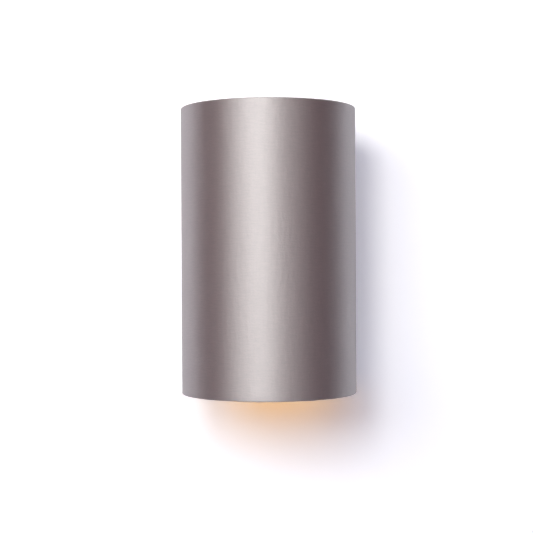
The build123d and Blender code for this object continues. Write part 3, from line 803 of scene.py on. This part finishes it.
def cloth_rows(mesh, line, outward):
    """The cloth's corner points, in rows along it, from its start to the end of its lap."""
    rows = []
    for column in range(CLOTH_COLUMNS + 1):
        turn = (360 + SEAM_LAP) * column / CLOTH_COLUMNS
        angle = math.radians(SEAM_START + turn)
        over = smooth((turn - 360 + LAP_CLIMB) / LAP_CLIMB) * FABRIC
        row = []
        for (reach, height), (out, up) in zip(line, outward):
            inside = min(height - SHADE_BOTTOM, SHADE_TOP - height)
            lap = over * (LAP_PRESSED + (1 - LAP_PRESSED) * smooth(inside / HEM))
            place = (math.cos(angle) * RIPPLE_ROUND, math.sin(angle) * RIPPLE_ROUND, height * RIPPLE_UP)
            radius = reach + out * (lap + noise.noise(Vector(place)) * RIPPLE)
            row.append(mesh.verts.new(around(radius, angle, height + up * lap)))
        rows.append(row)
    return rows


def add_fabric():
    """One sheet of satin, rolled over both hoops, whose end laps over its start down the back."""
    line = fabric_line()
    outward, length = section_frame(line)
    girth = math.radians(360 + SEAM_LAP) * SHADE_RADIUS
    mesh = bmesh.new()
    layer = mesh.loops.layers.uv.new("cloth")
    rows = cloth_rows(mesh, line, outward)
    for column in range(CLOTH_COLUMNS):
        for step in range(len(line) - 1):
            corners = [(column, step), (column + 1, step), (column + 1, step + 1), (column, step + 1)]
            face = mesh.faces.new([rows[across][up] for across, up in corners])
            for loop, (across, up) in zip(face.loops, corners):
                loop[layer].uv = (girth * across / CLOTH_COLUMNS, length[up])
    cut = [face for face in mesh.faces if cut_away(face.calc_center_median())]
    bmesh.ops.delete(mesh, geom=cut, context="FACES")
    cloth = link_mesh("shade_cloth", mesh)
    thicken = cloth.modifiers.new("thickness", "SOLIDIFY")
    thicken.thickness = FABRIC * CLOTH_SHARE
    thicken.offset = 0
    settle(cloth)
    place_piece(cloth, "root", "shade_fabric")


def add_liner_lap():
    """The liner's own glued lap, seen from inside."""
    start, end = LINER_LAP
    inner = LINER_OUTER - 1.15 * MM
    outer = LINER_OUTER - 0.79 * MM
    low, high = SHADE_BOTTOM + LINER_HEM, SHADE_TOP - LINER_HEM
    steps = 10
    points = []
    for step in range(steps + 1):
        angle = math.radians(start + (end - start) * step / steps)
        for radius, height in ((inner, low), (outer, low), (outer, high), (inner, high)):
            points.append(around(radius, angle, height))
    faces = [(0, 1, 2, 3), tuple(4 * steps + corner for corner in (3, 2, 1, 0))]
    for step in range(steps):
        for corner in range(4):
            after = (corner + 1) % 4
            faces.append((4 * step + corner, 4 * step + 4 + corner, 4 * step + 4 + after, 4 * step + after))
    lap = link_faces("liner_lap", points, faces)
    settle(lap)
    place_piece(lap, "root", slot="copper_liner")


def leg_route(angle):
    """From the fitter's ring out to the liner and up to the top hoop."""
    bend = (HOOP_RADIUS - LEG_BEND, FITTER_Z + LEG_BEND)
    section = [(FITTER_RADIUS, FITTER_Z), (bend[0], FITTER_Z)]
    section += arc(bend, LEG_BEND, -90, 0, 10)
    section += [(HOOP_RADIUS, leg_high.z)]
    return [around(radius, math.radians(angle), height) for radius, height in section]


def add_frame_wires():
    """The three legs as one piece, and both hoops."""
    legs = round_curve("fitter_leg_wires", HOOP_WIRE, 4)
    for angle in LEG_ANGLES:
        add_spline(legs, "POLY", leg_route(angle))
    place_piece(link("fitter_leg_wires", legs), "root", "fitter_legs")
    for node in ("top_hoop", "bottom_hoop"):
        section = arc((HOOP_RADIUS, centre_of(node).z), HOOP_WIRE, 0, 360, HOOP_SECTION)
        hoop = turned_mesh(node + "_wire", section, HOOP_SEGMENTS)
        place_piece(hoop, "root", node)


def add_weld_beads():
    """Spot-weld beads where the legs meet the top hoop and the fitter's ring."""
    mesh = bmesh.new()
    for angle in LEG_ANGLES:
        for reach, height in ((HOOP_RADIUS, leg_high.z), (FITTER_RADIUS + 0.3 * MM, FITTER_Z)):
            turn = Matrix.Rotation(math.radians(angle), 4, "Z")
            place = Matrix.Translation(Vector((AXIS.x, AXIS.y, height))) @ turn
            place @= Matrix.Translation(Vector((reach, 0, 0)))
            size = Matrix.Diagonal((*BEAD, 1))
            made = bmesh.ops.create_icosphere(mesh, subdivisions=3, radius=1.0, matrix=place @ size)
            for vertex in made["verts"]:
                vertex.co.z += noise.noise(vertex.co * BEAD_LUMPS) * BEAD_LUMP
    beads = link_mesh("weld_beads", mesh)
    settle(beads)
    place_piece(beads, "root", slot="white_wire")


# ---------------------------------------------------------------- lampholder and bulb

LONGEST_SIDE = 0.4 * MM      # of a threaded piece's outline, so that the thread is round
CAP_SEGMENTS = 96
SKIRT_SEGMENTS = 120


def thread(pitch, depth, low, high, run_out):
    """How far a right-hand thread cuts in below its crest, as a function of angle and height."""
    def cut(angle, height):
        fade = smooth((height - low) / run_out) * smooth((high - height) / run_out)
        return depth * fade * (0.5 - 0.5 * math.cos(angle - 2 * math.pi * height / pitch))
    return cut


def add_bulb_cap():
    """Rolled cap: its thread's crests are at the CAD's radius and it turns in at the end."""
    low, high = cap_low.z, cap_high.z
    wall = 0.6 * MM
    shoulder = high - 2.2 * MM
    end = 11.0 * MM
    mouth = 9.6 * MM
    inner = CAP_RADIUS - wall
    outline = [
        (CAP_RADIUS, low), (CAP_RADIUS, shoulder), (end, high), (mouth, high),
        (mouth, high - wall), (end - 0.4 * MM, high - wall), (inner, shoulder - wall / 2), (inner, low),
    ]
    cut = thread(E27_PITCH, 0.56 * MM, low + 1.5 * MM, shoulder + 0.4 * MM, 2.5 * MM)

    def shift(angle, height, radius):
        return -cut(angle, height) if radius > inner + 0.3 * MM else 0.0

    cap = turned_mesh("bulb_cap_shell", divided(outline, LONGEST_SIDE), CAP_SEGMENTS, shift)
    place_piece(cap, "bulb", "bulb_cap")


def add_skirt():
    """Skirt with an outer thread for the shade rings and the E27 thread inside its sleeve."""
    low, high = skirt_low.z, skirt_high.z
    chamfer = 0.5 * MM
    bore = 13.9 * MM
    sleeve = 15.3 * MM
    pocket = 17.0 * MM
    spigot = 17.8 * MM
    mouth = 16.0 * MM
    step = high - 3 * MM
    ledge = low + 2 * MM
    sleeve_top = high - 7 * MM
    outline = [
        (bore, low + chamfer), (bore + chamfer, low),
        (SKIRT_RADIUS - chamfer, low), (SKIRT_RADIUS, low + chamfer),
        (SKIRT_RADIUS, step), (spigot, step), (spigot, high),
        (mouth, high), (pocket, high - 6 * MM), (pocket, ledge),
        (sleeve, ledge), (sleeve, sleeve_top), (bore, sleeve_top),
    ]
    outer = thread(2.2 * MM, 0.5 * MM, low + 3 * MM, high - 4 * MM, 1.5 * MM)
    inner = thread(E27_PITCH, 0.45 * MM, low + 1.5 * MM, high - 8 * MM, 2.5 * MM)

    def shift(angle, height, radius):
        if radius > SKIRT_RADIUS - 0.1 * MM:
            return -outer(angle, height)
        if radius < bore + 0.1 * MM:
            return -inner(angle, height)
        return 0.0

    skirt = turned_mesh("holder_skirt_shell", divided(outline, LONGEST_SIDE), SKIRT_SEGMENTS, shift)
    place_piece(skirt, "root", "holder_skirt")


# ---------------------------------------------------------------- screws

ROOM = (0, -1, 0)            # the way that most of the heads face
SCREW_SEGMENTS = 48


def add_screws(name, node, places, head, shank, slot_width):
    """Slotted cheese-head screws. head and shank are (radius, length); each place has +Z out of the head."""
    head_radius, head_height = head
    shank_radius, shank_length = shank
    edge = 0.15 * head_height
    outline = [
        (0, head_height), (head_radius - edge, head_height), (head_radius, head_height - edge),
        (head_radius, 0), (shank_radius, 0), (shank_radius, -shank_length), (0, -shank_length),
    ]
    mesh = bmesh.new()
    cutter = bmesh.new()
    for place in places:
        corners = [mesh.verts.new(place @ Vector((radius, 0, height))) for radius, height in outline]
        edges = [mesh.edges.new(pair) for pair in zip(corners, corners[1:])]
        axis = (place.to_3x3() @ Vector((0, 0, 1))).normalized()
        bmesh.ops.spin(
            mesh, geom=corners + edges, cent=place.translation, axis=axis,
            angle=math.tau, steps=SCREW_SEGMENTS,
        )
        size = Matrix.Diagonal((head_radius * 2.4, slot_width, head_height, 1))
        slot_place = place @ Matrix.Translation((0, 0, head_height))
        bmesh.ops.create_cube(cutter, size=1, matrix=slot_place @ size)
    bmesh.ops.remove_doubles(mesh, verts=mesh.verts, dist=0.002 * MM)
    bmesh.ops.recalc_face_normals(mesh, faces=mesh.faces)
    screws, slots = link_mesh(name, mesh), link_mesh(name + "_slots", cutter)
    cut = screws.modifiers.new("slots", "BOOLEAN")
    cut.operation = "DIFFERENCE"
    cut.solver = "EXACT"
    cut.object = slots
    settle(screws)
    bpy.data.objects.remove(slots)
    place_piece(screws, "root", node)


def facing(place, direction, slot_turn):
    """Matrix at a place with +Z along direction, turned about it by slot_turn degrees."""
    turn = Vector(direction).to_track_quat("Z", "Y").to_matrix().to_4x4()
    return Matrix.Translation(place) @ turn @ Matrix.Rotation(math.radians(slot_turn), 4, "Z")


def add_front_screw(name, node, head, shank, slot_width, slot_turn):
    """One screw that faces the room, with the top of its head at the node's front."""
    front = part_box(node)[0].y
    centre = centre_of(node)
    place = facing((centre.x, front + head[1], centre.z), ROOM, slot_turn)
    add_screws(name, node, [place], head, shank, slot_width)


def add_rose_screws():
    """A screw at each side of the rose's cover."""
    side = radius_of("rose_cover")
    centre = centre_of("rose_screws")
    head = (3.8 * MM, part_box("rose_screws")[1].x - side)
    shank = (1.65 * MM, 6.4 * MM)
    places = [facing((way * side, centre.y, centre.z), (way, 0, 0), 25 * way) for way in (-1, 1)]
    add_screws("rose_screw_pair", "rose_screws", places, head, shank, 1.1 * MM)


def add_clamp_screws():
    """Six grub screws in the terminal block, with each slot turned its own way."""
    low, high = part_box("terminal_screws")
    grub = (1.5 * MM, (high.y - low.y) / 2)
    radius, half_length = grub
    places = []
    for x in (low.x + radius, 0.0, high.x - radius):
        for z in (low.z + radius, high.z - radius):
            places.append(facing((x, low.y + half_length, z), ROOM, x * 9000 + z * 4000))
    add_screws("clamp_screws", "terminal_screws", places, grub, grub, 0.6 * MM)


def add_lock_screw():
    """Grub screw that locks the lampholder's cap on its nipple."""
    low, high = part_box("holder_lock_screw")
    grub = (radius_of("holder_lock_screw"), (high.y - low.y) / 2)
    add_front_screw("lock_screw", "holder_lock_screw", grub, grub, 0.5 * MM, 15)


def add_all_screws():
    add_rose_screws()
    head, shank = (3.6 * MM, 2.2 * MM), (1.65 * MM, 2.2 * MM)
    add_front_screw("earth_screw_slotted", "earth_screw", head, shank, 1.0 * MM, 35)
    head, shank = (1.7 * MM, 1.3 * MM), (1.15 * MM, 5.4 * MM)
    add_front_screw("block_screw", "terminal_fixing_screw", head, shank, 0.6 * MM, -20)
    add_clamp_screws()
    add_lock_screw()


# ---------------------------------------------------------------- wiring

def add_core(name, node, route):
    """Insulated core along a smooth line through the light; the route is in millimetres."""
    curve = round_curve(name, WIRE_RADIUS, 3)
    curve.resolution_u = 10
    spline = add_spline(curve, "NURBS", [tuple(part * MM for part in place) for place in route])
    spline.order_u = 3
    spline.use_endpoint_u = True
    place_piece(link(name, curve), "root", node)


def add_wiring():
    """From the terminal block, live and neutral through the arm to the lampholder, and earth to its lug."""
    axis = AXIS.y / MM
    for name, node, side in (("live_core", "live_wire", -1), ("neutral_core", "neutral_wire", 1)):
        route = [
            (9, -5.5, -31.5), (9, -5.5, -23), (13, -9, -8), (13, -9, 18), (1.6, -4.4, 38), (1.6, -4.4, 44),
            (1.6, -12, 44), (1.6, 13 + axis, 44), (1.6, axis, 44), (1.6, axis, 31), (1.6, axis, 19),
            (8, axis, 15.5), (8, axis, 10.2),
        ]
        add_core(name, node, [(side * x, y, z) for x, y, z in route])
    route = [
        (0, -5.5, -31.5), (0, -5.5, -23.5), (4, -12.2, -16), (21, -12.2, -8), (24, -9.5, 6),
        (24, -3.25, 13), (24, -3.25, 19.6),
    ]
    add_core("earth_core", "earth_wire", route)


# ---------------------------------------------------------------- scene

bpy.context.scene.view_settings.view_transform = "Standard"
add_camera()
add_world()
add_lights()
add_room()
MATERIALS = make_materials()
dress_nodes()
add_fabric()
add_liner_lap()
add_frame_wires()
add_weld_beads()
add_bulb_cap()
add_skirt()
add_all_screws()
add_wiring()
